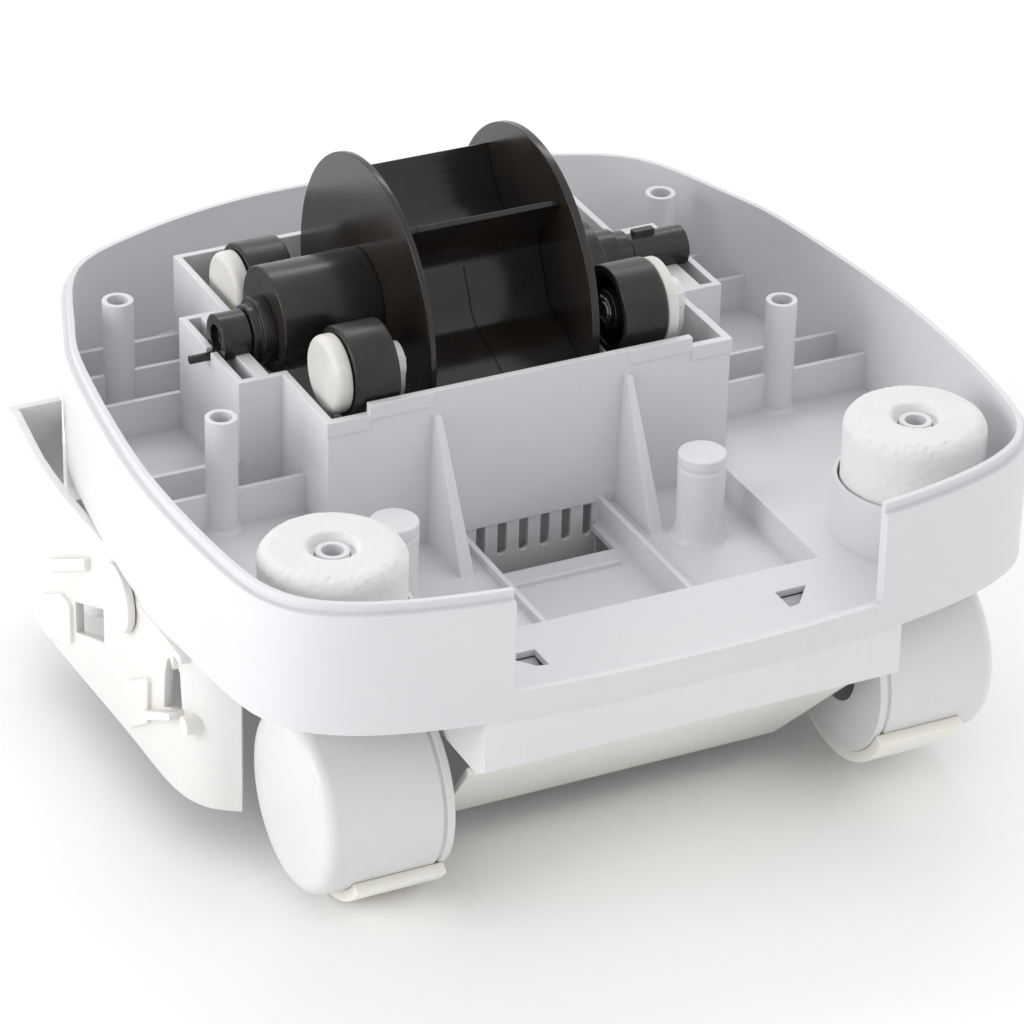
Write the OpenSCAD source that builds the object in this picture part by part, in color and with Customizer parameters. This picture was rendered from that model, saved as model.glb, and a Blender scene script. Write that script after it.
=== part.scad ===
// Walking pool cleaner chassis, shown without its top cover.
// Tray and turbine housing, spool turbine with cams, rocker frames, four pods with shoes,
// foam floats, hanging flaps and side wings. Millimetres, +Z up, +Y to the rear.

/* [Shell] */
// Full width of the tray at its widest
shell_w = 291; // [270:1:310]
// Tray length behind the turbine axis
shell_rear = 105; // [98:1:115]
// Tray length ahead of the turbine axis
shell_front = 190; // [186:1:200]
// Height of the inner lip above the parting plane
lip_h = 49.6; // [46:0.2:54]
// Height of the outer ledge above the parting plane
ledge_h = 46.2; // [42:0.2:50]
// Thickness of each of the two rim layers
rim_t = 2.1; // [1.6:0.1:2.6]
// Thickness of moulded walls and floors
wall = 2.5; // [2:0.1:3]
// Half width of the notch in the front wall
notch_half = 66; // [60:1:70]
// Height of the front wall inside the notch
notch_h = 13.4; // [10:0.1:20]
// Height of the tray floor above the parting plane
floor_h = 6.5; // [6:0.1:8]
// Height of the rim's lower edge above the parting plane
skirt_h = 3; // [2.6:0.1:3.4]

/* [Turbine housing] */
// Half width of the front and rear bands
band_half = 75; // [72:0.5:80]
// Half width of the middle band that holds the bearings
bearing_band_half = 91.1; // [88:0.5:96]
// Half depth of the middle band
bearing_band_depth = 25.9; // [24:0.1:28]
// Distance of the front wall ahead of the axis
house_front = 62.9; // [62:0.1:66]
// Distance of the rear wall behind the axis
house_rear = 69.9; // [66:0.1:74]
// Height of the housing walls
house_h = 48.9; // [45:0.1:52]
// Extra height of the middle of the front wall
front_rise = 3.6; // [2:0.1:5]

/* [Pocket and bosses] */
// Half width of the sunken pocket ahead of the housing
pocket_half = 68; // [60:0.5:70]
// Distance of the pocket's front edge ahead of the axis
pocket_front = 141.3; // [135:0.1:144]
// Depth of the middle of the pocket below the parting plane
pocket_d = 12; // [9:0.5:13]
// Depth of the two sides of the pocket below the parting plane
pocket_side_d = 5; // [3:0.5:7]
// Sideways distance of the cover screw bosses
boss_x = 105; // [100:0.5:110]
// Rear pair of cover bosses behind the axis
boss_rear = 47; // [44:0.5:50]
// Front pair of cover bosses ahead of the axis
boss_front = 44; // [42:0.5:48]
// Height of the cover bosses
boss_h = 48.6; // [46:0.2:50]
// Hole diameter of the cover bosses
boss_bore = 7.3; // [5:0.1:7.6]
// Height of the bracing ribs
rib_h = 20.4; // [14:0.1:24]

/* [Floats] */
// Sideways distance of the foam floats
float_x = 105.7; // [104:0.1:107]
// Distance of the floats ahead of the axis
float_y = 135.3; // [134:0.1:137]
// Radius of the foam floats
float_r = 24.3; // [23:0.1:25]
// Height of the float top
float_h = 48.8; // [46:0.2:50]
// Height of the moulded float cup
cup_h = 26.5; // [18:0.5:30]

/* [Turbine] */
// Height of the turbine axis above the parting plane
axis_h = 53; // [52:0.5:54]
// Radius of the two turbine discs
disc_r = 54; // [50:0.5:57]
// Radius of the vane tips
vane_r = 48.6; // [44:0.1:50]
// Number of vanes
vanes = 5; // [4:1:6]
// Outer face of the left disc from the middle
disc_left = 33.5; // [33:0.5:34]
// Outer face of the right disc from the middle
disc_right = 29.5; // [28:0.5:29.5]
// Thickness of the right disc
disc_t = 3; // [2:0.1:4]
// Radius of the cams
cam_r = 18.5; // [16:0.1:18.5]
// Eccentric throw of the cams
cam_throw = 3; // [2:0.1:3]
// Radius of the running shaft
shaft_r = 4.7; // [4:0.1:5]
// Turn of the left cam from straight up
cam_turn = 20; // [0:5:90]

/* [Rocker frames] */
// Radius of the cam rollers
roller_r = 15.7; // [14:0.1:16]
// Distance of each roller from the axis along the body
roller_y = 42; // [41:0.1:42.5]
// Height of the front rollers above the parting plane
roller_front_h = 57.5; // [54:0.5:59]
// Height of the rear rollers above the parting plane
roller_rear_h = 47; // [45:0.5:56]
// Lean of the left rocker frame towards the front
left_lean = 1.5; // [0:0.1:1.6]
// Depth of the rocker pivot below the parting plane
pivot_d = 30; // [26:0.5:34]

/* [Pods] */
// Radius of the pod drums
pod_r = 31.5; // [29:0.1:31.5]
// Inner end of the pods from the middle
pod_in = 77; // [77:0.5:80]
// Outer end of the pods from the middle
pod_out = 122; // [114:0.5:122]
// Distance of the pod centre ahead of the body's middle
pod_reach = 96.5; // [94:0.5:98]
// Depth of the level pod centre below the parting plane
pod_d = 39.5; // [39:0.5:44]
// Half of a pod's rocking angle
pod_rock = 6; // [2:0.5:6]
// Thickness of the shoes
shoe_t = 4.2; // [3:0.1:6]
// Inner end of the shoes from the middle
shoe_in = 78; // [78:0.5:82]
// Outer end of the shoes from the middle
shoe_out = 110; // [104:0.5:119]

/* [Flaps and wings] */
// Length of the hanging flaps
flap_len = 63; // [50:1:64]
// Hanging angle of the flaps below level
flap_angle = 47; // [40:1:60]
// Thickness of the flaps
flap_t = 2.6; // [2:0.1:3]
// Sideways distance of the wing skirt
wing_x = 144; // [142:0.5:147]
// Depth of the wing's lower edge below the parting plane
wing_d = 62; // [50:1:66]

/* [Hidden] */
mid_y = (shell_rear - shell_front) / 2;
lever_y = 30;
lever_z = 17.5;
pod_drop = lever_y * sin(pod_rock) + lever_z * (1 - cos(pod_rock));
ground = pod_d + pod_drop + pod_r + shoe_t;
hull_half = 75.3;
hull_d = 50;
nose_d = 19;
hull_len = 75.5;
run = 0.05;
gap = 0.3;
steps = 5;
cap_y = -47;
cap_z = -9.6;

white = "#eceaf0";
black = "#17161a";
cream = "#efead8";
foam = "#f6f5f2";
nylon = "#f1ece2";
steel = "#b9bcc0";

// Guide points of the half outline as shares of the half width and of the front or rear length
rim_guide = [[0, 1], [0.275, 0.987], [0.55, 0.89], [0.77, 0.72], [0.89, 0.343], [0.949, 0.033],
    [1, -0.353], [0.983, -0.684], [0.931, -0.834], [0.804, -0.916], [0.584, -0.966],
    [0.309, -0.992], [0, -1]];

function guide_point(g) = [g[0] * shell_w / 2, g[1] * (g[1] > 0 ? shell_rear : shell_front)];
right_half = [for (g = rim_guide) guide_point(g)];
left_half = [for (i = [len(right_half) - 2:-1:1]) [-right_half[i][0], right_half[i][1]]];
rim_loop = concat(right_half, left_half);

function spline(a, b, c, d, t) =
    (2 * b + (c - a) * t + (2 * a - 5 * b + 4 * c - d) * t * t + (3 * b - a - 3 * c + d) * t * t * t) / 2;
function smooth_loop(p) = [for (i = [0:len(p) - 1]) for (k = [0:steps - 1])
    let (n = len(p))
    spline(p[(i + n - 1) % n], p[i], p[(i + 1) % n], p[(i + 2) % n], k / steps)];
function smooth_line(p) = concat(
    [for (i = [0:len(p) - 2]) for (k = [0:steps - 1])
        spline(p[max(i - 1, 0)], p[i], p[i + 1], p[min(i + 2, len(p) - 1)], k / steps)],
    [p[len(p) - 1]]);
rim_path = smooth_loop(rim_loop);
function left_of(a, b) = let (v = b - a) [-v[1], v[0]] / norm(v);
function outline(inset) = [for (i = [0:len(rim_path) - 1])
    let (n = len(rim_path))
    rim_path[i] - inset * left_of(rim_path[(i + n - 1) % n], rim_path[(i + 1) % n])];
function ribbon(p, t) = concat(
    [for (i = [0:len(p) - 1]) p[i]],
    [for (i = [len(p) - 1:-1:0]) p[i] + t * left_of(p[max(i - 1, 0)], p[min(i + 1, len(p) - 1)])]);

module placed() translate([0, -mid_y, ground]) children();
module along_x(x0, x1, r, y = 0, z = 0, fn = 96)
    translate([x0, y, z]) rotate([0, 90, 0]) cylinder(h = x1 - x0, r = r, $fn = fn);
module slab(x0, x1, y0, y1, z0, z1) translate([x0, y0, z0]) cube([x1 - x0, y1 - y0, z1 - z0]);
module side_plate(x0, x1) translate([x0, 0, 0]) rotate([90, 0, 90]) linear_extrude(x1 - x0) children();

// ---- Tray with turbine housing ----
module housing_plan(grow) {
    translate([-band_half - grow, -house_front - grow])
        square([2 * (band_half + grow), house_front + house_rear + 2 * grow]);
    translate([-bearing_band_half - grow, -bearing_band_depth - grow])
        square([2 * (bearing_band_half + grow), 2 * (bearing_band_depth + grow)]);
}

module rim_layer(inset, top, notch) difference() {
    translate([0, 0, skirt_h]) linear_extrude(top - skirt_h) difference() {
        polygon(outline(inset));
        polygon(outline(inset + rim_t));
    }
    slab(-notch_half, notch_half, -shell_front - 5, -shell_front + 14, notch, top + 5);
}
module rim_wall() {
    rim_layer(0, ledge_h, notch_h);
    rim_layer(rim_t - 0.01, lip_h, notch_h - 0.8);
}

module tray_floor() difference() {
    translate([0, 0, floor_h - wall]) linear_extrude(wall) polygon(outline(rim_t));
    linear_extrude(20) housing_plan(-wall);
    slab(-pocket_half, pocket_half, -pocket_front, -house_front, 0, 20);
    for (s = [-1, 1]) scale([s, 1, 1]) linear_extrude(20)
        polygon([[43.9, -155.7], [55.3, -155.6], [47.7, -165], [43.8, -165.8]]);
}

// The sunken pocket: two side floors, a deeper middle and a drain ahead of the vent slots
module pocket() difference() {
    union() {
        slab(-pocket_half - 1.8, pocket_half + 1.8, -pocket_front - 1.8, -house_front,
            -pocket_side_d - wall, floor_h - 0.5);
        slab(-28, 28, -pocket_front - 1.8, -house_front, -pocket_d - wall, -pocket_side_d);
    }
    slab(-pocket_half, -28, -pocket_front, -house_front, -pocket_side_d, floor_h + 1);
    slab(28, pocket_half, -pocket_front, -house_front, -pocket_side_d, floor_h + 1);
    slab(-26, 26, -pocket_front, -house_front, -pocket_d, floor_h + 1);
    slab(-29, 29, -pocket_front, -house_front, -2, floor_h + 1);
    slab(-23.5, 23.5, -81, -house_front, -pocket_d - wall - 1, 0);
}

module pocket_ribs() {
    slab(-20, 20, -92, -90, -pocket_d - 0.1, -pocket_d + 1.6);
    for (s = [-1, 1]) hull() {
        slab(s * 35.5 - 2.6, s * 35.5 + 2.6, -house_front - 26, -house_front, -pocket_side_d - 0.1, -pocket_side_d);
        slab(s * 35.5 - 1.1, s * 35.5 + 1.1, -house_front - 2, -house_front, 43, 44);
    }
}

module housing_walls() difference() {
    union() {
        translate([0, 0, -pocket_d - wall]) linear_extrude(pocket_d + wall + house_h) difference() {
            housing_plan(0);
            housing_plan(-wall);
        }
        slab(-60, 60, -house_front, -house_front + wall, house_h - 1, house_h + front_rise);
        slab(-28, 28, -house_front, -house_front + wall, -26, -pocket_d);
        for (s = [-1, 1]) {
            slab(s > 0 ? 36.4 : -60, s > 0 ? 60 : -36.4, -house_front - 0.5, -house_front + 1,
                house_h + front_rise - 5.4, house_h + front_rise);
            slab(s > 0 ? 59.9 : -band_half - 0.5, s > 0 ? band_half + 0.5 : -59.9, -house_front - 0.5,
                -house_front + 1, house_h - 5.4, house_h);
            slab(s > 0 ? band_half - 1 : -band_half - 0.5, s > 0 ? band_half + 0.5 : -band_half + 1,
                -house_front - 0.5, -bearing_band_depth - 14, house_h - 5.4, house_h);
        }
    }
    slab(-25.5, 25.5, -house_front - 1, -house_front + 0.7, -30, -4);
    for (i = [0:5]) translate([-17.9 + i * 8.1, -house_front - 1, 0]) {
        slab(-1.65, 1.65, 0, wall + 2, -15, -4.5);
        translate([0, 0, -15]) rotate([-90, 0, 0]) cylinder(h = wall + 2, r = 1.65, $fn = 32);
    }
    for (s = [-1, 1]) translate([s * bearing_band_half, 0, axis_h - 6]) rotate([0, 90, 0])
        cylinder(h = 8, r = 1.8, center = true, $fn = 32);
    for (s = [-1, 1]) translate([s * bearing_band_half, 0, house_h + 1])
        cube([8, 3.6, 8], center = true);
}

module saddles() for (s = [-1, 1]) difference() {
    slab(s > 0 ? 76 : -84, s > 0 ? 84 : -79, -bearing_band_depth + wall - 0.1,
        bearing_band_depth - wall + 0.1, 20, house_h);
    along_x(s * 80 - 5, s * 80 + 5, s > 0 ? 7.1 : 8.2, 0, axis_h);
    slab(s * 80 - 5, s * 80 + 5, -7, 7, axis_h, axis_h + 10);
}

module boss(x, y, h) translate([x, y, 0]) difference() {
    union() {
        translate([0, 0, floor_h - 1]) cylinder(h = h - floor_h + 1, d = 11, $fn = 64);
        translate([0, 0, floor_h - 0.1]) cylinder(h = 1.6, d1 = 14.2, d2 = 11, $fn = 64);
    }
    translate([0, 0, h - 30]) cylinder(h = 31, d = boss_bore, $fn = 64);
}
// Round post with a waist and a ring groove near its top
module post(x) translate([x, -94.7, 0]) rotate_extrude($fn = 64)
    polygon([[0, -pocket_side_d - 0.5], [10.4, -pocket_side_d - 0.5], [8.6, -pocket_side_d + 2.2], [8, 4],
        [8.3, 21.6], [7.9, 22], [7.9, 23], [8.3, 23.4], [8.3, 26.6], [7.9, 27], [0, 27]]);

module bracing_ribs() difference() {
    for (s = [-1, 1]) {
        for (y = [-bearing_band_depth, bearing_band_depth])
            slab(s > 0 ? bearing_band_half - 0.2 : -150, s > 0 ? 150 : -bearing_band_half + 0.2, y - 1, y + 1, floor_h - 1, rib_h);
        for (y = [-boss_front, boss_rear, 66])
            slab(s > 0 ? band_half - 0.2 : -150, s > 0 ? 150 : -band_half + 0.2, y - 1, y + 1, floor_h - 1, rib_h);
    }
    translate([0, 0, -2]) linear_extrude(60) difference() {
        square(500, center = true);
        polygon(outline(1.5 * rim_t));
    }
    for (s = [-1, 1]) {
        for (y = [-boss_front, boss_rear]) translate([s * boss_x, y, boss_h - 30])
            cylinder(h = 40, d = boss_bore, $fn = 64);
    }
}

module float_cup(s) translate([s * float_x, -float_y, 0]) difference() {
    translate([0, 0, floor_h - 1]) cylinder(h = cup_h - floor_h + 1, r = float_r + 1.9, $fn = 96);
    translate([0, 0, 8]) cylinder(h = cup_h, r = float_r + 0.6, $fn = 96);
}

module tray() placed() color(white) {
    rim_wall();
    tray_floor();
    pocket();
    pocket_ribs();
    housing_walls();
    saddles();
    bracing_ribs();
    for (s = [-1, 1]) {
        boss(s * boss_x, boss_rear, boss_h);
        boss(s * boss_x, -boss_front, boss_h);
        float_cup(s);
        boss(s * float_x, -float_y, 47);
    }
    post(-65.5);
    post(48.3);
}

// ---- Lower body ----
module hull_profile() polygon([[-shell_front + 0.6, skirt_h - 0.1], [-shell_front + 3.6, -14.5],
    [-shell_front + 11, -nose_d], [mid_y - hull_len, -nose_d], [mid_y - hull_len + 22, -hull_d],
    [mid_y + hull_len - 22, -hull_d], [mid_y + hull_len, -nose_d], [shell_rear - 11, -nose_d],
    [shell_rear - 3.6, -14.5], [shell_rear - 0.6, skirt_h - 0.1]]);
module hull_core() polygon([[-shell_front + 3, skirt_h + 1], [-shell_front + 6, -13.5],
    [-shell_front + 12, -nose_d + wall], [mid_y - hull_len + wall, -nose_d + wall],
    [mid_y - hull_len + 22 + wall, -hull_d + wall], [mid_y + hull_len - 22 - wall, -hull_d + wall],
    [mid_y + hull_len - wall, -nose_d + wall], [shell_rear - 12, -nose_d + wall],
    [shell_rear - 6, -13.5], [shell_rear - 3, skirt_h + 1]]);

module hull_shell() difference() {
    intersection() {
        side_plate(-hull_half, hull_half) hull_profile();
        translate([0, 0, -100]) linear_extrude(200) polygon(outline(0.6));
    }
    intersection() {
        side_plate(-hull_half + wall, hull_half - wall) hull_core();
        translate([0, 0, -100]) linear_extrude(200) polygon(outline(0.6 + wall));
    }
    slab(-hull_half - 1, hull_half + 1, -pocket_front - 2.1, house_rear + 0.2, -pocket_d - wall - 0.2, 20);
}

// Arm that carries a wing beside the hull
module outrigger(s) {
    slab(s > 0 ? hull_half + 0.3 : -134.8, s > 0 ? 134.8 : -hull_half - 0.3, mid_y - 54, mid_y + 54, 0.1, 2.8);
    slab(s > 0 ? 124 : -127, s > 0 ? 127 : -124, mid_y - 54, mid_y + 54, -28, 2);
    for (y = [-52, -20, 20, 49])
        slab(s > 0 ? hull_half - 1 : -125, s > 0 ? 125 : -hull_half + 1, mid_y + y, mid_y + y + 3, -28, -15);
    for (y = [-52, -20, 49])
        slab(s > 0 ? hull_half + 0.3 : -125, s > 0 ? 125 : -hull_half - 0.3, mid_y + y, mid_y + y + 3, -15.1, 1);
}

module lower_body() placed() color(white) difference() {
    union() {
        hull_shell();
        translate([0, mid_y, -hull_d - 4]) cylinder(h = 8, r = 28, $fn = 96);
        for (s = [-1, 1]) {
            outrigger(s);
            along_x(s * 71 - 2.4, s * 71 + 2.4, 8, 0, -pivot_d);
            for (e = [-1, 1]) along_x(s * 69.9 - 4.6, s * 69.9 + 4.6, 6.8, mid_y + e * 66.5, -22);
            for (e = [-1, 1]) flap_knuckle(s * 58, e);
        }
    }
    translate([0, 0, -pocket_d - wall - 0.2]) linear_extrude(40) housing_plan(0.2);
    translate([0, mid_y, -hull_d - 5]) cylinder(h = 12, r = 24, $fn = 96);
    along_x(-80, 80, 3, 0, -pivot_d, 48);
    for (s = [-1, 1]) {
        for (e = [-1, 1]) along_x(s * 70 - 8, s * 70 + 8, 3, mid_y + e * 66.5, -22, 48);
    }
    for (e = [-1, 1]) along_x(-70, 70, 1.6, flap_y(e), flap_z(), 32);
}

function flap_y(e) = e < 0 ? -shell_front + 20.5 : shell_rear - 20.5;
function flap_z() = -nose_d - 3.2;
module flap_knuckle(x, e) {
    along_x(x - 4, x + 4, 3.2, flap_y(e), flap_z(), 48);
    slab(x - 4, x + 4, flap_y(e) - 3.2, flap_y(e) + 3.2, flap_z(), -nose_d + 0.5);
}

// ---- Floats ----
module float_block(s) placed() color(foam) translate([s * float_x, -float_y, 8.3])
    difference() {
        rotate_extrude($fn = 96) polygon(concat([[0, 0], [float_r, 0]],
            [for (a = [0:15:90]) [float_r - 4 + 4 * cos(a), float_h - 8.3 - 4 + 4 * sin(a)]],
            [[0, float_h - 8.3]]));
        translate([0, 0, -1]) cylinder(h = 60, r = 5.9, $fn = 64);
        translate([0, 0, float_h - 8.3 - 3.2]) cylinder(h = 5, r = 7.5, $fn = 64);
    }
module float_left() float_block(-1);
module float_right() float_block(1);

// ---- Turbine ----
module disc(x0, t) difference() {
    along_x(x0, x0 + t, disc_r, 0, axis_h, 128);
    along_x(x0 - 1, x0 + t + 1, 14, 0, axis_h);
}
module turbine_disc_left() placed() color(black) disc(-disc_left, 2.2);
module turbine_disc_right() placed() color(black) disc(disc_right - disc_t, disc_t);

function vane_line(a0) = [for (k = [0:8]) let (q = k / 8, r = 18 + (vane_r - 18) * q,
    a = a0 + 7 * cos(90 * q)) r * [sin(a), cos(a)]];
module turbine_vanes() placed() color(black) difference() {
    union() {
        along_x(-disc_left, disc_right, 14, 0, axis_h);
        side_plate(-disc_left + 2.2, disc_right - disc_t) translate([0, axis_h])
            offset(r = -13, $fn = 96) offset(delta = 13) union() {
                circle(r = 19);
                for (i = [0:vanes - 1]) polygon(ribbon(vane_line(i * 360 / vanes + 40), 2));
            }
    }
    along_x(-60, 60, shaft_r, 0, axis_h);
}
module turbine_shaft() placed() color(black) difference() {
    union() {
        along_x(-86, 84, shaft_r, 0, axis_h);
        along_x(-75, -70.2, 11.5, 0, axis_h);
        along_x(-77.8, -75, 9.5, 0, axis_h);
        along_x(51.2, 61, 10.3, 0, axis_h);
        along_x(61, 66, 9, 0, axis_h);
    }
    along_x(-88, -68, 3.2, 0, axis_h, 48);
    along_x(68, 88, 3.2, 0, axis_h, 48);
}
module cam(x0, x1, turn) difference() {
    along_x(x0, x1, cam_r, -cam_throw * sin(turn), axis_h + cam_throw * cos(turn), 128);
    along_x(x0 - 1, x1 + 1, shaft_r, 0, axis_h);
}
module cam_left() placed() color(black) cam(-70.2, -disc_left, -cam_turn);
module cam_right() placed() color(black) cam(disc_right, 51.2, 180 - cam_turn);

module bearing_left() placed() color(black) {
    difference() {
        along_x(-88.3, -78.4, 8.2, 0, axis_h);
        along_x(-90, -76, shaft_r + run, 0, axis_h);
    }
    along_x(-98, -86, 1.5, 0, axis_h - 6.4, 32);
}
module bearing_right() placed() color(black) {
    difference() {
        union() {
            along_x(67, 88.3, 7.1, 0, axis_h);
            slab(69, 77, -1.5, 1.5, axis_h + 6, axis_h + 9);
        }
        along_x(60, 90, shaft_r + run, 0, axis_h);
    }
}

// ---- Rocker frames and rollers ----
function roller_h(e) = e < 0 ? roller_front_h : roller_rear_h;
module yoke_shaft() placed() color(steel) along_x(-75, 75, 3, 0, -pivot_d, 48);
module yoke(x0) difference() {
    union() {
        side_plate(x0, x0 + 4) difference() {
            polygon([[-11, -pivot_d - 4], [11, -pivot_d - 4], [roller_y + 6, roller_h(1) - 8],
                [roller_y + 6, roller_h(1) + 4], [roller_y - 7, roller_h(1) + 4], [roller_y - 12, 28],
                [0, 14], [-roller_y + 12, 28], [-roller_y + 7, roller_h(-1) + 4],
                [-roller_y - 6, roller_h(-1) + 4], [-roller_y - 6, roller_h(-1) - 8]]);
            polygon([[-5, -16], [5, -16], [12, 2], [0, 6], [-12, 2]]);
        }
        along_x(x0 - 3, x0 + 7, 7.5, 0, -pivot_d);
        for (e = [-1, 1]) along_x(x0, x0 + 4, 6.5, e * roller_y, roller_h(e));
    }
    along_x(x0 - 10, x0 + 20, 3 + run, 0, -pivot_d, 48);
    for (e = [-1, 1]) along_x(x0 - 1, x0 + 6, 3, e * roller_y, roller_h(e), 48);
}
module left_frame() translate([0, 0, -pivot_d]) rotate([left_lean, 0, 0]) translate([0, 0, pivot_d])
    children();
module yoke_left() placed() color(white) left_frame() yoke(-45);
module yoke_right() placed() color(white) yoke(60.6);

module roller_axle(x0, x1, e) along_x(x0, x1, 3, e * roller_y, roller_h(e), 48);
module roller_axle_front_left() placed() color(steel) left_frame() roller_axle(-67.1, -41, -1);
module roller_axle_rear_left() placed() color(steel) left_frame() roller_axle(-67.1, -41, 1);
module roller_axle_front_right() placed() color(steel) roller_axle(36.5, 64.6, -1);
module roller_axle_rear_right() placed() color(steel) roller_axle(36.5, 64.6, 1);

module roller(x0, e) difference() {
    along_x(x0, x0 + 16, roller_r, e * roller_y, roller_h(e), 128);
    along_x(x0 - 1, x0 + 20, 3 + run, e * roller_y, roller_h(e), 48);
    difference() {
        along_x(x0 - 1, x0 + 9, roller_r - 3, e * roller_y, roller_h(e), 128);
        along_x(x0 - 2, x0 + 12, 7, e * roller_y, roller_h(e));
    }
}
module roller_front_left() placed() color(black) left_frame() roller(-63, -1);
module roller_rear_left() placed() color(black) left_frame() roller(-63, 1);
module roller_front_right() placed() color(black) roller(37.5, -1);
module roller_rear_right() placed() color(black) roller(37.5, 1);

module puck(e) translate([-63.4, e * roller_y, roller_h(e)]) rotate([0, -90, 0]) difference() {
    rotate_extrude($fn = 96) polygon(concat([[0, 0], [13.4, 0]],
        [for (a = [0:15:90]) [10.9 + 2.5 * cos(a), 3.2 + 2.5 * sin(a)]], [[0, 5.7]]));
    translate([0, 0, -1]) cylinder(h = 4.8, r = 3, $fn = 48);
}
module puck_front_left() placed() color(nylon) left_frame() puck(-1);
module puck_rear_left() placed() color(nylon) left_frame() puck(1);
module washer(e) difference() {
    along_x(54, 58, 15, e * roller_y, roller_h(e));
    along_x(50, 60, 3, e * roller_y, roller_h(e), 48);
}
module washer_front_right() placed() color(nylon) washer(-1);
module washer_rear_right() placed() color(nylon) washer(1);

// ---- Pods, shoes and axles ----
// Each pod is drawn level, then rocked about its axle: three stand on the ground, the front right one is lifted
module pod_place(s, e) {
    lifted = s > 0 && e < 0;
    translate([0, mid_y + e * (pod_reach - lever_y), -pod_d + lever_z])
        rotate([lifted ? e * pod_rock : -e * pod_rock, 0, 0])
        translate([0, e * lever_y, -lever_z]) children();
}
function pod_x0(s) = s > 0 ? pod_in : -pod_out;
module pod(s, e) difference() {
    union() {
        translate([s * pod_in, 0, 0]) rotate([0, s * 90, 0]) rotate_extrude($fn = 128)
            polygon(concat([[0, 0], [pod_r, 0], [pod_r, 2.6], [pod_r - 1, 3], [pod_r - 1, 3.8], [pod_r, 4.2]],
                [for (a = [0:15:90]) [pod_r - 5 + 5 * cos(a), pod_out - pod_in - 5 + 5 * sin(a)]],
                [[0, pod_out - pod_in]]));
        for (x = [86, 108]) along_x(s > 0 ? x : -x - 6, s > 0 ? x + 6 : -x, 7, -e * lever_y, lever_z);
        for (x = [86, 108]) translate([s > 0 ? x : -x - 6, 0, 0]) rotate([90, 0, 90]) linear_extrude(6)
            polygon([[0, 0], [-e * 4, 28], [-e * (lever_y - 2), lever_z + 7], [-e * (lever_y + 2), lever_z - 6.6],
                [-e * 28, -4]]);
    }
    along_x(s > 0 ? 70 : -125, s > 0 ? 125 : -70, 3 + run, -e * lever_y, lever_z, 48);
    along_x(s > 0 ? pod_in - 1 : -pod_out + 5, s > 0 ? pod_out - 5 : -pod_in + 1, 14, 0, 0);
    for (x = [94]) translate([s > 0 ? 92.3 : -107.7, -e * lever_y, lever_z])
        rotate([0, 90, 0]) cylinder(h = 15.4, r = 8, $fn = 64);
}
module pod_front_left() placed() color(white) pod_place(-1, -1) pod(-1, -1);
module pod_rear_left() placed() color(white) pod_place(-1, 1) pod(-1, 1);
module pod_front_right() placed() color(white) pod_place(1, -1) pod(1, -1);
module pod_rear_right() placed() color(white) pod_place(1, 1) pod(1, 1);

function sector(a0, a1, r) = concat([[0, 0]], [for (a = [a0:(a1 - a0) / 8:a1]) r * [sin(a), -cos(a)]]);
module shoe(s, e) difference() {
    intersection() {
        along_x(s > 0 ? shoe_in : -shoe_out, s > 0 ? shoe_out : -shoe_in, pod_r + shoe_t, 0, 0, 128);
        side_plate(s > 0 ? 70 : -125, s > 0 ? 125 : -70)
            polygon([for (p = sector(-58, 42, 80)) [-e * p[0], p[1]]]);
    }
    along_x(s > 0 ? 70 : -130, s > 0 ? 130 : -70, pod_r + 0.02, 0, 0, 128);
}
module shoe_front_left() placed() color(cream) pod_place(-1, -1) shoe(-1, -1);
module shoe_rear_left() placed() color(cream) pod_place(-1, 1) shoe(-1, 1);
module shoe_front_right() placed() color(cream) pod_place(1, -1) shoe(1, -1);
module shoe_rear_right() placed() color(cream) pod_place(1, 1) shoe(1, 1);

module pod_axle(s, e) along_x(s > 0 ? 66 : -118, s > 0 ? 118 : -66, 3, mid_y + e * 66.5, -22, 48);
module pod_axle_front_left() placed() color(steel) pod_axle(-1, -1);
module pod_axle_rear_left() placed() color(steel) pod_axle(-1, 1);
module pod_axle_front_right() placed() color(steel) pod_axle(1, -1);
module pod_axle_rear_right() placed() color(steel) pod_axle(1, 1);

// ---- Flaps ----
module flap(e) translate([0, flap_y(e), flap_z()]) difference() {
    union() {
        rotate([e * flap_angle, 0, 0]) translate([0, 0, -flap_t / 2])
            linear_extrude(flap_t) polygon([[-51, -e * 2.3], [51, -e * 2.3], [52, -e * 4.5], [71, -e * 8],
                [63, -e * flap_len], [-63, -e * flap_len], [-71, -e * 8], [-52, -e * 4.5]]);
        along_x(-53, 53, 3, 0, 0, 48);
    }
    along_x(-80, 80, 1.6 + run, 0, 0, 32);
}
module flap_front() placed() color(cream) flap(-1);
module flap_rear() placed() color(cream) flap(1);
module flap_pin(e) along_x(-66, 66, 1.6, flap_y(e), flap_z(), 32);
module flap_pin_front() placed() color(steel) flap_pin(-1);
module flap_pin_rear() placed() color(steel) flap_pin(1);

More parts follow.
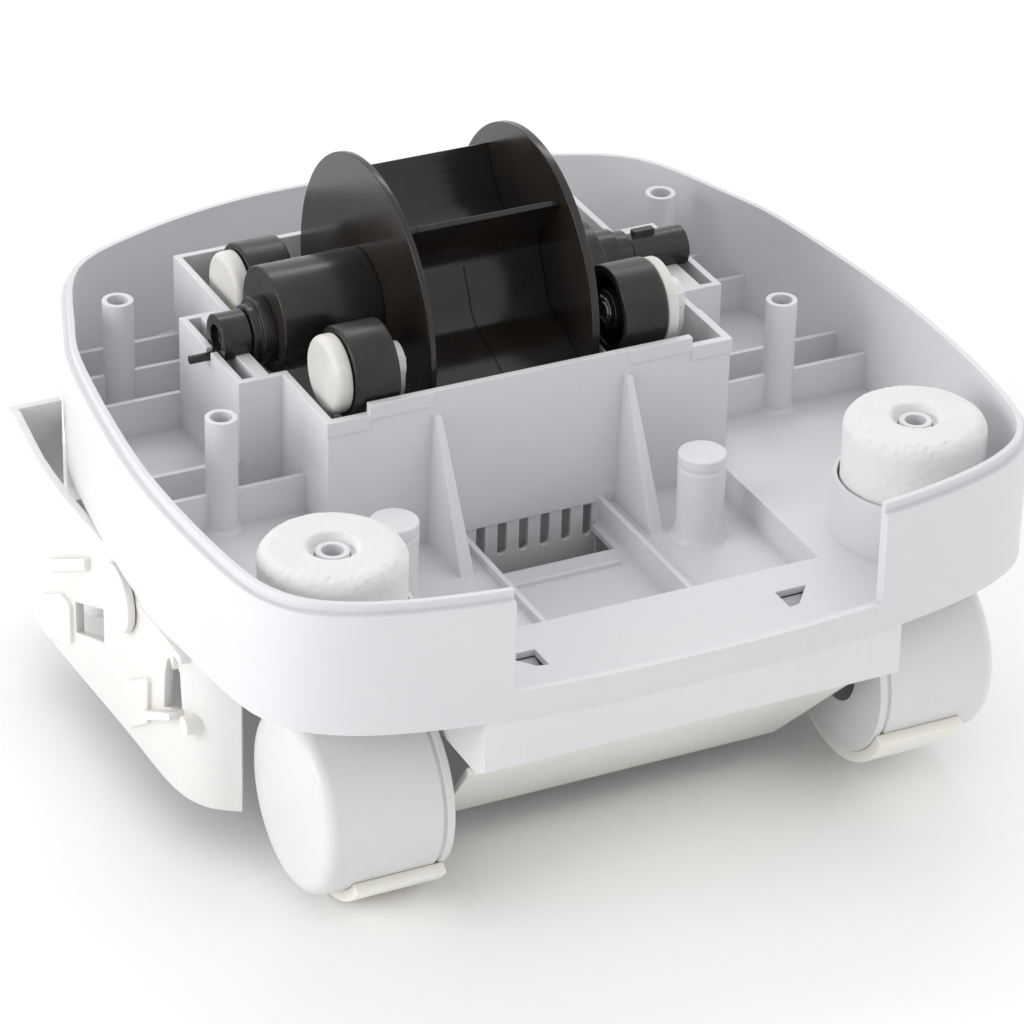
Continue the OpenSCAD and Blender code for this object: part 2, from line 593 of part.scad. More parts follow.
// ---- Wings ----
wing_line = smooth_line([[wing_x - 1, 56], [wing_x, 18], [wing_x - 2, -47], [wing_x - 3, -85],
    [wing_x - 8, -101], [wing_x - 18, -109]]);
module wing_plan(t) polygon([for (p = ribbon(wing_line, -t)) p]);
module wing() difference() {
    union() {
        translate([0, 0, -wing_d]) linear_extrude(wing_d + 11) wing_plan(3);
        slab(124.2, wing_x - 1, 53, 56, -26, 10.6);
        slab(127, wing_x - 2, mid_y - 54, 12, -8.4, -5.4);
        for (y = [-90, -40, 0]) slab(127.2, wing_x - 2, y, y + 3, -26, -6);
        side_plate(wing_x - 1.5, wing_x + 1.2) polygon([[15, -28], [-20, -9], [-20, -13.5], [15, -33]]);
        side_plate(wing_x - 3, wing_x + 0.9) offset(r = 2, $fn = 24)
            polygon([[22, -48], [4, -38], [-2, -38], [-2, -50], [18, -59], [25, -57]]);
        side_plate(wing_x - 4.2, wing_x - 0.8) offset(r = 1, $fn = 16)
            polygon([[-53, -40], [-69, -30], [-68, -46], [-53, -56]]);
        side_plate(wing_x - 6, wing_x + 1) polygon([[-69, -41], [-93, -28], [-93, -31], [-69, -44.5]]);
        along_x(wing_x - 12, wing_x - 2, 3.4, -98, -31, 48);
    }
    side_plate(110, 160) polygon([[-120, 2.8], [2, 2.8], [26, 5], [50, 10.6], [60, 10.6], [60, 20], [-120, 20]]);
    side_plate(110, 160) polygon([[60, -26], [22, -27], [17, -34], [28, -46], [35, -wing_d - 1], [60, -wing_d - 1]]);
    side_plate(wing_x - 8, wing_x + 5) translate([-86, -20])
        polygon([[-6, -9], [6, -14], [5, 0], [3, 6], [-1, 9], [-5, 5]]);
    side_plate(wing_x - 8, wing_x + 5) polygon([[-6, -34], [-30, -24], [-30, -37], [-6, -46]]);
    along_x(wing_x - 8, wing_x + 5, 4, cap_y, cap_z, 48);
}
module wing_left() placed() color(white) mirror([1, 0, 0]) wing();
module wing_right() placed() color(white) wing();
module wing_cap(s) {
    x = wing_x - 1.6;
    along_x(s > 0 ? x : -x - 2.8, s > 0 ? x + 2.8 : -x, 12, cap_y, cap_z);
    along_x(s > 0 ? x - 6 : -x, s > 0 ? x : -x + 6, 4, cap_y, cap_z, 48);
}
module wing_cap_left() placed() color(white) wing_cap(-1);
module wing_cap_right() placed() color(white) wing_cap(1);

tray();
lower_body();
float_left();
float_right();
turbine_disc_left();
turbine_disc_right();
turbine_vanes();
turbine_shaft();
cam_left();
cam_right();
bearing_left();
bearing_right();
yoke_shaft();
yoke_left();
yoke_right();
roller_axle_front_left();
roller_axle_rear_left();
roller_axle_front_right();
roller_axle_rear_right();
roller_front_left();
roller_rear_left();
roller_front_right();
roller_rear_right();
puck_front_left();
puck_rear_left();
washer_front_right();
washer_rear_right();
pod_front_left();
pod_rear_left();
pod_front_right();
pod_rear_right();
shoe_front_left();
shoe_rear_left();
shoe_front_right();
shoe_rear_right();
pod_axle_front_left();
pod_axle_rear_left();
pod_axle_front_right();
pod_axle_rear_right();
flap_front();
flap_rear();
flap_pin_front();
flap_pin_rear();
wing_left();
wing_right();
wing_cap_left();
wing_cap_right();
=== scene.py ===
"""Studio scene of a walking pool cleaner chassis with its top cover taken off.

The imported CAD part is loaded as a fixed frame. This script gives every CAD node softened moulded edges and
a procedural material, replaces the plain foam blocks, adds small details, and sets the light and camera.
Everything is in metres, +Z up, +Y to the rear, with the origin on the floor under the middle of the part.
"""

import math

import bmesh
import bpy
from mathutils import Matrix, Vector, noise


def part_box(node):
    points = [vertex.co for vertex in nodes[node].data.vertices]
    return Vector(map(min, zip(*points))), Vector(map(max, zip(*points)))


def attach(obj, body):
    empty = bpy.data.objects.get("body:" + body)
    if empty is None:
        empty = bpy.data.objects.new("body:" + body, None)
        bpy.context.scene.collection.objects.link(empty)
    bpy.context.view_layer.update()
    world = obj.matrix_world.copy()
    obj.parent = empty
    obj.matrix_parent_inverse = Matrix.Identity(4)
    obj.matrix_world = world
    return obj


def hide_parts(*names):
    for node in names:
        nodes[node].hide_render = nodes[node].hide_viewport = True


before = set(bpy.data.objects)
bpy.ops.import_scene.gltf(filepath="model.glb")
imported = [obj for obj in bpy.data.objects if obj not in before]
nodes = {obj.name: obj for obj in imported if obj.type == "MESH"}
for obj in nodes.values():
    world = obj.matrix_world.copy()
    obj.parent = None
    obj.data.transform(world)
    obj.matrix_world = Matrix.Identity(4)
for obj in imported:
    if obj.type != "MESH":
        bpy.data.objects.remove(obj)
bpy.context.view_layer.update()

MM = 0.001
# The CAD source's own origin, in mm in the scene, and the turn of the top vane from straight up
SHELL_ORIGIN = Vector((0.0, 42.5, 78.432))
AXLE = SHELL_ORIGIN + Vector((0.0, 0.0, 53.0))
TOP_VANE_TURN = math.radians(40)

# ---- Camera and light, as named values ----
CAMERA_AZIMUTH = math.radians(-26.63)
CAMERA_ELEVATION = math.radians(29.88)
CAMERA_ROLL = math.radians(1.43)
CAMERA_DISTANCE = 1.662
CAMERA_TARGET = Vector((-0.0018, -0.0107, 0.0718))
CAMERA_LENS = 171.24
FLOOR_SIZE = 6.0
FLOOR_DROP = 0.0002
WORLD_LEVEL = 0.86
WORLD_LEAN = (0.20, 0.14, -0.04)


# ---- Node graph helper ----
class Graph:
    """One material's node tree, with short calls for the nodes that the finishes share."""

    def __init__(self, name, **values):
        self.material = bpy.data.materials.new(name)
        self.material.use_nodes = True
        self.tree = self.material.node_tree
        self.shader = self.tree.nodes["Principled BSDF"]
        self.place = self.add("ShaderNodeTexCoord").outputs["Object"]
        self.set(**values)

    @classmethod
    def wrap(cls, material):
        """The helper over a material that is already made."""
        g = cls.__new__(cls)
        g.material, g.tree = material, material.node_tree
        g.shader = g.tree.nodes["Principled BSDF"]
        g.place = next(n for n in g.tree.nodes if n.type == "TEX_COORD").outputs["Object"]
        return g

    def set(self, **values):
        """Sets or links sockets of the shader: base_color=..., roughness=... and so on."""
        for key, value in values.items():
            self.feed(self.shader.inputs[key.replace("_", " ").title().replace("Ior", "IOR")], value)

    def feed(self, socket, value):
        if isinstance(value, bpy.types.NodeSocket):
            self.tree.links.new(value, socket)
        elif isinstance(value, tuple) and len(value) == 3 and socket.type == "RGBA":
            socket.default_value = (*value, 1.0)
        else:
            socket.default_value = value

    def add(self, kind, inputs=None, **props):
        node = self.tree.nodes.new(kind)
        for key, value in props.items():
            setattr(node, key, value)
        for key, value in (inputs or {}).items():
            self.feed(node.inputs[key], value)
        return node

    def stretched(self, scale):
        return self.add("ShaderNodeMapping", {"Vector": self.place, "Scale": scale}).outputs["Vector"]

    def noise(self, scale, detail=3.0, rough=0.5, stretch=None, distortion=0.0):
        vector = self.stretched(stretch) if stretch else self.place
        return self.add("ShaderNodeTexNoise", {"Vector": vector, "Scale": scale, "Detail": detail,
                                               "Roughness": rough, "Distortion": distortion}).outputs["Fac"]

    def cells(self, scale, feature="F1"):
        inputs = {"Vector": self.place, "Scale": scale}
        return self.add("ShaderNodeTexVoronoi", inputs, feature=feature).outputs["Distance"]

    def span(self, value, low, high, to_low=0.0, to_high=1.0):
        """Maps low..high to to_low..to_high, clamped."""
        return self.add("ShaderNodeMapRange", {"Value": value, "From Min": low, "From Max": high,
                                               "To Min": to_low, "To Max": to_high}).outputs["Result"]

    def math(self, operation, a, b=0.0):
        node = self.add("ShaderNodeMath", operation=operation)
        self.feed(node.inputs[0], a)
        self.feed(node.inputs[1], b)
        return node.outputs["Value"]

    def mix(self, fac, a, b, blend="MIX"):
        node = self.add("ShaderNodeMix", data_type="RGBA", blend_type=blend)
        self.feed(node.inputs[0], fac)
        self.feed(node.inputs[6], a)
        self.feed(node.inputs[7], b)
        return node.outputs[2]

    def bump(self, height, distance, strength=1.0, normal=None):
        node = self.add("ShaderNodeBump", {"Height": height, "Distance": distance, "Strength": strength})
        if normal:
            self.feed(node.inputs["Normal"], normal)
        return node.outputs["Normal"]

    def corner_shade_mask(self, distance):
        """Mask for painted shade, from ambient occlusion: 1 in corners and grooves, 0 on open faces."""
        node = self.add("ShaderNodeAmbientOcclusion", {"Distance": distance}, samples=6)
        return self.span(node.outputs["AO"], 0.35, 0.95, 1.0, 0.0)


# ---- Materials ----
def moulded_white(name, low, high, shade, rough=0.38, skin=0.1, depth=0.0016):
    """Injection-moulded plastic: faint flow marks, fine spark texture, painted shade in corners, handling
    marks.
    """
    g = Graph(name)
    flow = g.noise(11.0, 4.0, 0.55, stretch=(1.0, 0.6, 1.6), distortion=0.6)
    colour = g.mix(g.span(flow, 0.3, 0.7), low, high)
    # Painted shade: corners and grooves are darkened towards the shade colour by the ambient occlusion mask.
    colour = g.mix(g.math("MULTIPLY", g.corner_shade_mask(0.005), 0.3), colour, shade)
    specks = g.span(g.noise(420.0, 2.0, 0.4), 0.70, 0.76)
    colour = g.mix(g.math("MULTIPLY", specks, 0.22), colour, shade)
    scuffs = g.span(g.noise(70.0, 3.0, 0.6, stretch=(0.35, 4.0, 4.0)), 0.62, 0.72)
    patches = g.noise(45.0, 3.0)
    patchy = g.span(patches, 0.3, 0.7, rough - 0.05, rough + 0.07)
    roughness = g.math("ADD", patchy, g.math("MULTIPLY", scuffs, 0.09))
    sink = g.bump(g.noise(16.0, 2.0), 0.0004, 0.5)
    grain = g.bump(g.noise(2600.0, 2.0, 0.6), 0.00003, 0.45, sink)
    g.set(base_color=colour, roughness=roughness, normal=grain, subsurface_weight=skin,
          subsurface_scale=depth, subsurface_radius=(1.0, 0.96, 0.92), ior=1.49)
    return g.material


def moulded_black(name, low, high, rough, streak, scratch=0.05):
    """Glossy black plastic: warm black, flow streaks, hair scratches, a little settled dust."""
    g = Graph(name)
    flow = g.noise(18.0, 4.0, 0.6, stretch=streak, distortion=0.4)
    colour = g.mix(g.span(flow, 0.3, 0.75), low, high)
    dust = g.span(g.noise(900.0, 2.0, 0.5), 0.69, 0.74)
    haze = g.span(g.noise(30.0, 3.0, 0.6), 0.45, 0.75)
    colour = g.mix(g.math("MULTIPLY", dust, g.math("MULTIPLY", haze, 0.22)), colour, (0.23, 0.22, 0.20))
    hairs = g.span(g.noise(160.0, 2.0, 0.5, stretch=(0.12, 3.0, 1.0), distortion=1.2), 0.60, 0.66)
    hairs_across = g.span(g.noise(140.0, 2.0, 0.5, stretch=(2.4, 0.15, 2.0), distortion=1.6), 0.62, 0.67)
    marks = g.math("MAXIMUM", hairs, hairs_across)
    streaky = g.span(flow, 0.25, 0.8, rough - 0.03, rough + 0.07)
    roughness = g.math("ADD", streaky, g.math("MULTIPLY", marks, scratch))
    wave = g.bump(g.noise(22.0, 2.0), 0.0003, 0.35)
    grain = g.bump(g.noise(1800.0, 2.0, 0.6), 0.000012, 0.4, wave)
    lines = g.bump(marks, 0.000006, 0.25, grain)
    g.set(base_color=colour, roughness=roughness, normal=lines, ior=1.52)
    return g.material


def turbine_black(name):
    """The turbine's warm gloss black."""
    return moulded_black(name, (0.0125, 0.0098, 0.0078), (0.027, 0.0225, 0.0190), 0.17, (1.6, 1.0, 1.0))


def parted(material, lines):
    """Adds moulding lines to the turbine's finish, as a hollow in its bump and a dark trace.

    Each line is (X place in metres, side). Side 1 is above the plane through the axle and the top vane, and
    side -1 is below it.
    """
    g = Graph.wrap(material)
    across = g.add("ShaderNodeSeparateXYZ", {"Vector": g.place})
    groove = 0.0
    back = g.math("SUBTRACT", across.outputs["Y"], AXLE.y * MM)
    rise = g.math("SUBTRACT", across.outputs["Z"], AXLE.z * MM)
    lean = g.math("ADD", g.math("MULTIPLY", back, math.cos(TOP_VANE_TURN)),
                  g.math("MULTIPLY", rise, math.sin(TOP_VANE_TURN)))
    for place, side in lines:
        away = g.math("ABSOLUTE", g.math("SUBTRACT", across.outputs["X"], place))
        near = g.span(away, 0.00012, 0.00030, 1.0, 0.0)
        where = g.span(g.math("MULTIPLY", lean, side), 0.0002, 0.0008)
        groove = g.math("MAXIMUM", groove, g.math("MULTIPLY", near, where))
    base = g.shader.inputs["Base Color"].links[0].from_socket
    bumped = g.shader.inputs["Normal"].links[0].from_socket
    g.set(base_color=g.mix(g.math("MULTIPLY", groove, 0.8), base, (0.003, 0.0025, 0.002)),
          normal=g.bump(g.math("SUBTRACT", 1.0, groove), 0.0003, 0.8, bumped))
    return material


def roller_black():
    """Satin black rollers with fine turning rings."""
    g = Graph("roller_satin_black")
    rings = g.noise(1.0, 3.0, 0.7, stretch=(1900.0, 0.0, 0.0))
    worn = g.noise(60.0, 4.0, 0.6)
    colour = g.mix(g.span(worn, 0.3, 0.75), (0.012, 0.0105, 0.0095), (0.026, 0.023, 0.021))
    dust = g.span(g.noise(700.0, 2.0), 0.70, 0.75)
    colour = g.mix(g.math("MULTIPLY", dust, 0.3), colour, (0.20, 0.19, 0.18))
    g.set(base_color=colour, roughness=g.span(worn, 0.25, 0.8, 0.27, 0.40), ior=1.5,
          normal=g.bump(g.noise(2200.0, 2.0), 0.00002, 0.35, g.bump(rings, 0.00004, 0.5)))
    return g.material


def closed_cell_foam():
    """Moulded white foam: fused beads, pinholes and a chalky skin."""
    g = Graph("closed_cell_foam")
    beads = g.cells(420.0, "SMOOTH_F1")
    pores = g.span(g.cells(1500.0), 0.10, 0.30)
    tint = g.mix(g.span(g.noise(24.0, 4.0), 0.3, 0.7), (0.77, 0.77, 0.77), (0.83, 0.83, 0.83))
    tint = g.mix(g.span(beads, 0.35, 0.75, 0.0, 0.30), tint, (0.78, 0.78, 0.78))
    # Painted shade: corners and grooves of the foam are darkened by the ambient occlusion mask.
    tint = g.mix(g.math("MULTIPLY", g.corner_shade_mask(0.006), 0.3), tint, (0.70, 0.69, 0.70))
    shape = g.bump(beads, 0.0005, 0.55)
    fine = g.bump(pores, 0.00012, 0.5, shape)
    dry = g.bump(g.noise(900.0, 4.0, 0.7), 0.0002, 0.5, fine)
    g.set(base_color=tint, roughness=g.span(beads, 0.0, 1.0, 0.86, 0.97), normal=dry,
          subsurface_weight=0.15, subsurface_scale=0.0015, subsurface_radius=(1.0, 1.0, 1.0))
    return g.material


def nylon():
    """Warm white nylon pads, slightly waxy with turning rings."""
    g = Graph("waxy_nylon")
    cloud = g.noise(90.0, 4.0, 0.6)
    colour = g.mix(g.span(cloud, 0.3, 0.7), (0.70, 0.685, 0.64), (0.79, 0.78, 0.745))
    # Painted shade: corners and grooves of the nylon are darkened by the ambient occlusion mask.
    colour = g.mix(g.math("MULTIPLY", g.corner_shade_mask(0.004), 0.4), colour, (0.55, 0.53, 0.49))
    rings = g.noise(1.0, 2.0, 0.6, stretch=(2400.0, 0.0, 0.0))
    g.set(base_color=colour, roughness=g.span(cloud, 0.25, 0.75, 0.40, 0.54), ior=1.53,
          normal=g.bump(g.noise(1500.0, 3.0), 0.00003, 0.5, g.bump(rings, 0.00002, 0.4)),
          subsurface_weight=0.3, subsurface_scale=0.002, subsurface_radius=(1.0, 0.85, 0.65))
    return g.material


def urethane(name, low, high, glow, rough=0.33):
    """Cream cast urethane: cloudy, soft, with rubbed patches."""
    g = Graph(name)
    cloud = g.noise(28.0, 4.0, 0.55, distortion=0.8)
    colour = g.mix(g.span(cloud, 0.28, 0.72), low, high)
    rub = g.span(g.noise(150.0, 3.0, 0.6, stretch=(0.4, 2.0, 2.0)), 0.58, 0.72)
    colour = g.mix(g.math("MULTIPLY", rub, 0.15), colour, (0.72, 0.70, 0.62))
    # Painted shade: corners and grooves of the urethane are darkened by the ambient occlusion mask.
    colour = g.mix(g.math("MULTIPLY", g.corner_shade_mask(0.005), 0.35), colour, (0.66, 0.62, 0.48))
    g.set(base_color=colour, roughness=g.math("ADD", g.span(cloud, 0.3, 0.7, rough - 0.04, rough + 0.05),
                                              g.math("MULTIPLY", rub, 0.12)),
          normal=g.bump(g.noise(1200.0, 3.0), 0.00004, 0.4, g.bump(g.noise(40.0, 2.0), 0.0005, 0.4)),
          subsurface_weight=glow, subsurface_scale=0.005, subsurface_radius=(1.0, 0.92, 0.72), ior=1.47)
    return g.material


def stainless():
    """Ground stainless pins, brushed round their length."""
    g = Graph("ground_stainless")
    lines = g.noise(1.0, 3.0, 0.7, stretch=(3200.0, 30.0, 30.0))
    stain = g.noise(130.0, 4.0)
    colour = g.mix(g.span(stain, 0.35, 0.7), (0.50, 0.50, 0.51), (0.62, 0.62, 0.63))
    g.set(base_color=colour, metallic=1.0, roughness=g.span(lines, 0.3, 0.7, 0.20, 0.38),
          normal=g.bump(lines, 0.000015, 0.5))
    return g.material


def studio_floor():
    g = Graph("studio_floor")
    cloud = g.noise(3.0, 3.0)
    g.set(base_color=g.mix(g.span(cloud, 0.3, 0.7), (0.98, 0.98, 0.98), (0.99, 0.99, 0.99)), roughness=0.7,
          normal=g.bump(g.noise(300.0, 2.0), 0.0001, 0.2))
    return g.material


# The fourth colour of each white finish is its painted corner shade; its fine specks take the same colour.
shell_white = moulded_white("tray_white", (0.712, 0.706, 0.734), (0.752, 0.747, 0.772), (0.56, 0.55, 0.57))
body_white = moulded_white("lower_body_white", (0.76, 0.755, 0.77), (0.80, 0.795, 0.81), (0.58, 0.56, 0.56))
pod_white = moulded_white("pod_white", (0.735, 0.733, 0.735), (0.775, 0.773, 0.775), (0.60, 0.58, 0.57),
                          rough=0.34)
wing_white = moulded_white("wing_milky_white", (0.745, 0.738, 0.722), (0.785, 0.778, 0.762),
                           (0.72, 0.66, 0.56), rough=0.36, skin=0.35, depth=0.004)
gloss_black = turbine_black("turbine_gloss_black")
vane_gloss = parted(turbine_black("vane_gloss_black"), [(-0.0024, -1.0), (-0.0265, 1.0)])
satin_black = moulded_black("cam_satin_black", (0.011, 0.0095, 0.0082), (0.026, 0.0225, 0.020), 0.24,
                            (3.0, 1.0, 1.0))
rubber_black = roller_black()
foam_white = closed_cell_foam()
nylon_white = nylon()
shoe_cream = urethane("shoe_cream_urethane", (0.92, 0.895, 0.81), (0.95, 0.93, 0.86), 0.45)
flap_cream = urethane("flap_cream_urethane", (0.86, 0.845, 0.775), (0.90, 0.89, 0.83), 0.35, rough=0.38)
steel = stainless()

# Finish and edge radius of each family of CAD nodes, by the start of the node's name
FINISHES = [
    ("tray", shell_white, 0.25), ("lower_body", body_white, 0.15), ("yoke_shaft", steel, 0.3),
    ("yoke", body_white, 0.25), ("wing_cap", wing_white, 0.4), ("wing", wing_white, 0.12),
    ("pod_axle", steel, 0.25), ("pod", pod_white, 0.2), ("shoe", shoe_cream, 0.5), ("flap_pin", steel, 0.3),
    ("flap", flap_cream, 0.5), ("turbine_disc", gloss_black, 0.35), ("turbine_vanes", vane_gloss, 0.3),
    ("turbine_shaft", satin_black, 0.35), ("cam", satin_black, 0.5), ("bearing", satin_black, 0.15),
    ("roller_axle", steel, 0.2), ("roller", rubber_black, 0.7), ("puck", nylon_white, 0.25),
    ("washer", nylon_white, 0.5), ("float", foam_white, 0.5),
]


def soften(obj, radius):
    """Joins the mesh's corners, rounds its sharp edges and shades it smoothly, all by modifiers."""
    weld = obj.modifiers.new("join", "WELD")
    weld.merge_threshold = 0.000004
    edge = obj.modifiers.new("edges", "BEVEL")
    edge.width = radius * MM
    edge.segments = 2
    edge.limit_method = "ANGLE"
    edge.angle_limit = math.radians(38)
    edge.use_clamp_overlap = False
    edge.loop_slide = False
    edge.harden_normals = False
    shade = obj.modifiers.new("shade", "WEIGHTED_NORMAL")
    shade.keep_sharp = False
    shade.weight = 80
    for polygon in obj.data.polygons:
        polygon.use_smooth = True


for name, obj in nodes.items():
    _, finish, radius = next(f for f in FINISHES if name.startswith(f[0]))
    if not obj.material_slots:
        obj.data.materials.append(finish)
    for slot in obj.material_slots:
        slot.material = finish
    soften(obj, radius)


# ---- Mesh helpers ----
def new_piece(name, bm, finish, body):
    mesh = bpy.data.meshes.new(name)
    bm.normal_update()
    bm.to_mesh(mesh)
    bm.free()
    for polygon in mesh.polygons:
        polygon.use_smooth = True
    mesh.materials.append(finish)
    obj = bpy.data.objects.new(name, mesh)
    bpy.context.scene.collection.objects.link(obj)
    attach(obj, body)
    return obj


def arc(cx, cy, r, a0, a1, steps=6):
    """Points of an arc from angle a0 to a1, in degrees."""
    return [(cx + r * math.cos(math.radians(a0 + (a1 - a0) * i / steps)),
             cy + r * math.sin(math.radians(a0 + (a1 - a0) * i / steps))) for i in range(steps + 1)]


def lathe(profile, segments, shape=None):
    """Turns a closed (radius, height) profile round Z. shape(angle, radius, height, i) may move a point."""
    bm = bmesh.new()
    rings = []
    for k in range(segments):
        a = 2 * math.pi * k / segments
        ring = []
        for i, (r, h) in enumerate(profile):
            rr, hh = shape(a, r, h, i) if shape else (r, h)
            ring.append(bm.verts.new((rr * math.cos(a), rr * math.sin(a), hh)))
        rings.append(ring)
    n = len(profile)
    for k in range(segments):
        here, there = rings[k], rings[(k + 1) % segments]
        for i in range(n):
            bm.faces.new((here[i], there[i], there[(i + 1) % n], here[(i + 1) % n]))
    bmesh.ops.recalc_face_normals(bm, faces=bm.faces)
    return bm


def refined(points, step):
    """The closed outline with extra points so that no side is longer than step."""
    out = []
    for i, p in enumerate(points):
        q = points[(i + 1) % len(points)]
        n = max(1, math.ceil(math.dist(p, q) / step))
        out += [(p[0] + (q[0] - p[0]) * k / n, p[1] + (q[1] - p[1]) * k / n) for k in range(n)]
    return out


# ---- Foam floats ----
def foam_float(side):
    """A moulded foam block with a rounded crown, a dished hole and slightly crumbled edges."""
    low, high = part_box("float_" + side)
    centre = (low + high) / 2
    radius = (high.x - low.x) / 2
    height = high.z - low.z
    crown = 4.6 * MM
    profile = [(5.9 * MM, 0.0), (radius - 1.2 * MM, 0.0), (radius - 0.2 * MM, 1.0 * MM)]
    profile += [(r, h) for r, h in arc(radius - crown - 0.15 * MM, height - crown, crown, 0, 90, 9)]
    profile += arc(9.4 * MM, height - 1.2 * MM, 1.2 * MM, 90, 160, 4)
    profile += [(7.0 * MM, height - 3.3 * MM), (5.9 * MM, height - 3.6 * MM)]
    profile = refined(profile, 1.1 * MM)
    seed = Vector((7.0, 3.0, 1.0)) if side == "left" else Vector((2.0, 9.0, 5.0))

    def crumble(a, r, h, i):
        place = Vector((r * math.cos(a), r * math.sin(a), h)) * 1000
        soft = noise.noise(place * 0.10 + seed) * 0.22 + noise.noise(place * 0.55 + seed) * 0.13
        edge = max(0.0, 1.0 - abs(h - (height - crown * 0.3)) / (crown * 1.2)) * (r > radius - crown * 1.2)
        chips = min(0.0, noise.noise(place * 0.9 + seed * 2) + 0.25) * 1.2 * edge
        if r < 6.5 * MM:
            return r, h
        out = (soft + chips - 0.12) * MM
        return (r + out * (r > radius - crown)), h + out * 0.8 * (h > height * 0.6)

    bm = lathe(profile, 200, crumble)
    bmesh.ops.translate(bm, verts=bm.verts, vec=Vector((centre.x, centre.y, low.z)))
    piece = new_piece("foam_float_" + side, bm, foam_white, "body")
    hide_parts("float_" + side)
    return piece


for side in ("left", "right"):
    foam_float(side)


# ---- Small parts ----
def shell_point(x, y, z):
    """A place in the CAD source's own millimetres, in the scene's metres."""
    return (SHELL_ORIGIN + Vector((x, y, z))) * MM


def slot_ramp(side, sign):
    """The sloped pad under a slot of the tray's front floor, highest at its rear edge."""
    outline = [(43.2, -155.1), (56.2, -155.0), (48.1, -165.7), (43.1, -166.5)]
    rear, front = outline[0][1], outline[-1][1]
    foot, top, drop = -4.5, 3.4, 4.6
    bm = bmesh.new()
    under = [bm.verts.new(shell_point(sign * x, y, foot)) for x, y in outline]
    over = []
    for x, y in outline:
        over.append(bm.verts.new(shell_point(sign * x, y, top - drop * (rear - y) / (rear - front))))
    for i in range(4):
        bm.faces.new((under[i], under[(i + 1) % 4], over[(i + 1) % 4], over[i]))
    bm.faces.new(over)
    bm.faces.new(list(reversed(under)))
    bmesh.ops.recalc_face_normals(bm, faces=bm.faces)
    bmesh.ops.subdivide_edges(bm, edges=bm.edges[:], cuts=2, use_grid_fill=True)
    piece = new_piece("slot_ramp_" + side, bm, shell_white, "body")
    soften(piece, 0.3)
    return piece


def axle_clip(corner):
    """The spring clip that holds a right cam roller on its axle: an open ring with two ears."""
    low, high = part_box("roller_axle_" + corner)
    centre = (low + high) / 2
    start, sweep, steps, ear_steps = 38, 284, 56, 5
    round_off = 0.1
    inset = 0.45
    bm = bmesh.new()
    rings = []
    for k in range(steps + 1):
        a = math.radians(start + sweep * k / steps)
        ear = 0.9 * (k < ear_steps or k > steps - ear_steps)
        inner, outer = 3.05, 4.5 + ear
        ring = [(inner, 0.05), (inner + round_off, 0.0), (outer - round_off, 0.0), (outer, 0.1),
                (outer, 0.45), (outer - round_off, 0.5), (inner + round_off, 0.5), (inner, 0.45)]
        rings.append([bm.verts.new((low.x + (inset + h) * MM, centre.y + r * MM * math.cos(a),
                                    centre.z + r * MM * math.sin(a))) for r, h in ring])
    for here, there in zip(rings, rings[1:]):
        for i in range(len(here)):
            j = (i + 1) % len(here)
            bm.faces.new((here[i], there[i], there[j], here[j]))
    bm.faces.new(rings[0])
    bm.faces.new(list(reversed(rings[-1])))
    bmesh.ops.recalc_face_normals(bm, faces=bm.faces)
    return new_piece("axle_clip_" + corner, bm, steel, "rocker_right")


for side, sign in (("left", -1), ("right", 1)):
    slot_ramp(side, sign)
for corner in ("front_right", "rear_right"):
    axle_clip(corner)


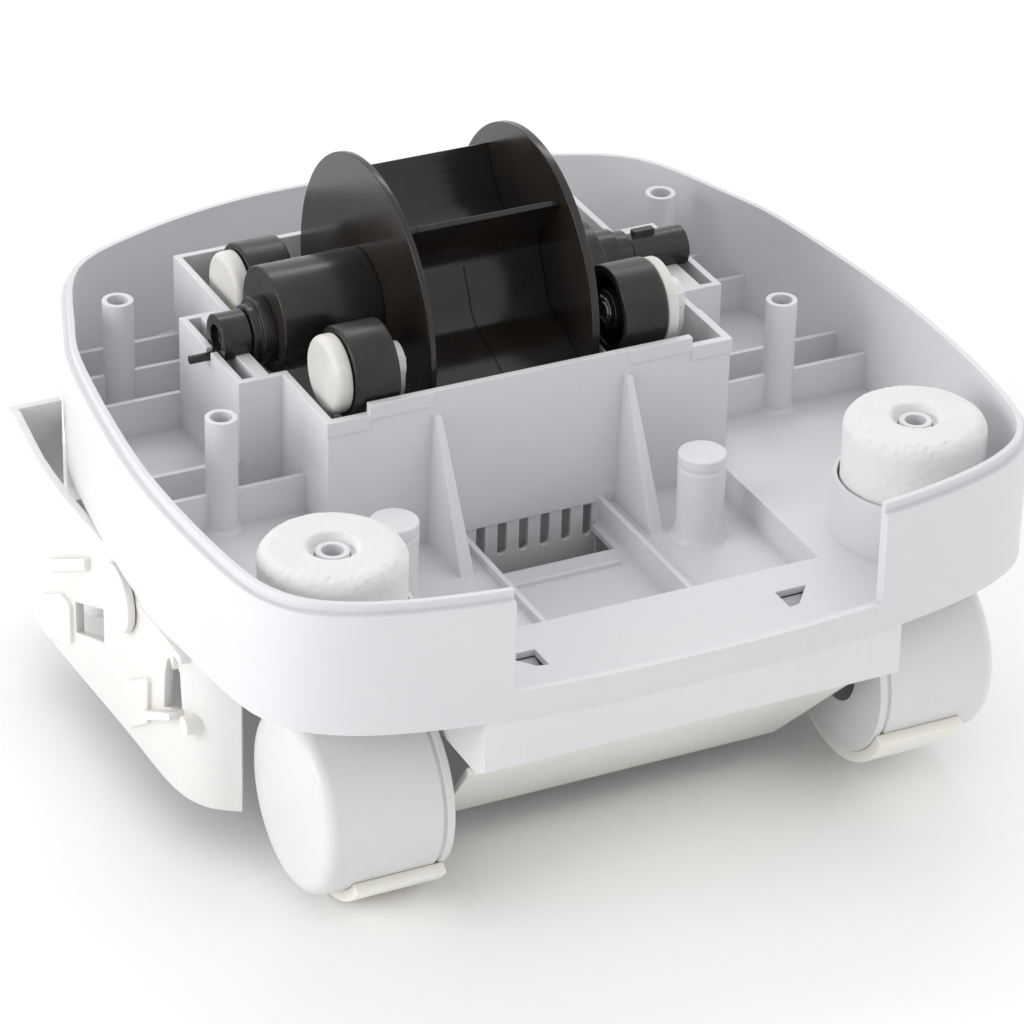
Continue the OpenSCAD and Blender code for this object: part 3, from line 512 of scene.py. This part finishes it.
# ---- Studio ----
def studio():
    mesh = bpy.data.meshes.new("studio_floor")
    bm = bmesh.new()
    bmesh.ops.create_grid(bm, x_segments=8, y_segments=8, size=FLOOR_SIZE / 2)
    bm.to_mesh(mesh)
    bm.free()
    mesh.materials.append(studio_floor())
    floor = bpy.data.objects.new("studio_floor", mesh)
    bpy.context.scene.collection.objects.link(floor)
    floor.location.z = -FLOOR_DROP

    world = bpy.data.worlds.new("studio_world")
    bpy.context.scene.world = world
    world.use_nodes = True
    tree = world.node_tree
    background = tree.nodes["Background"]
    background.inputs["Color"].default_value = (1.0, 1.0, 1.0, 1.0)
    place = tree.nodes.new("ShaderNodeTexCoord")
    fall = tree.nodes.new("ShaderNodeVectorMath")
    fall.operation = "DOT_PRODUCT"
    fall.inputs[1].default_value = WORLD_LEAN
    level = tree.nodes.new("ShaderNodeMath")
    level.operation = "ADD"
    level.inputs[1].default_value = WORLD_LEVEL
    tree.links.new(place.outputs["Generated"], fall.inputs[0])
    tree.links.new(fall.outputs["Value"], level.inputs[0])
    tree.links.new(level.outputs["Value"], background.inputs["Strength"])

    def softbox(name, place, size, watts, target=(0.0, 0.0, 0.1)):
        light = bpy.data.lights.new(name, "AREA")
        light.shape = "RECTANGLE"
        light.size, light.size_y = size
        light.energy = watts
        lamp = bpy.data.objects.new(name, light)
        bpy.context.scene.collection.objects.link(lamp)
        lamp.location = place
        lamp.rotation_euler = (Vector(target) - Vector(place)).to_track_quat("-Z", "Y").to_euler()

    softbox("key_left", (-1.8, 0.0, 0.7), (1.2, 0.9), 16.0)
    softbox("back_strip", (0.45, 1.1, 1.5), (1.4, 0.35), 5.0)
    softbox("fill_right", (1.6, -0.9, 1.3), (1.3, 1.0), 2.5)


def camera():
    back = Vector((math.sin(CAMERA_AZIMUTH) * math.cos(CAMERA_ELEVATION),
                   -math.cos(CAMERA_AZIMUTH) * math.cos(CAMERA_ELEVATION), math.sin(CAMERA_ELEVATION)))
    right = Vector((math.cos(CAMERA_AZIMUTH), math.sin(CAMERA_AZIMUTH), 0.0))
    up = back.cross(right)
    c, s = math.cos(CAMERA_ROLL), math.sin(CAMERA_ROLL)
    right, up = c * right + s * up, -s * right + c * up
    data = bpy.data.cameras.new("camera")
    data.lens = CAMERA_LENS
    data.sensor_width = 36.0
    data.clip_end = 20.0
    obj = bpy.data.objects.new("camera", data)
    bpy.context.scene.collection.objects.link(obj)
    axes = Matrix((right, up, back)).transposed().to_4x4()
    obj.matrix_world = Matrix.Translation(CAMERA_TARGET + CAMERA_DISTANCE * back) @ axes
    bpy.context.scene.camera = obj


studio()
camera()
bpy.context.scene.view_settings.view_transform = "Standard"
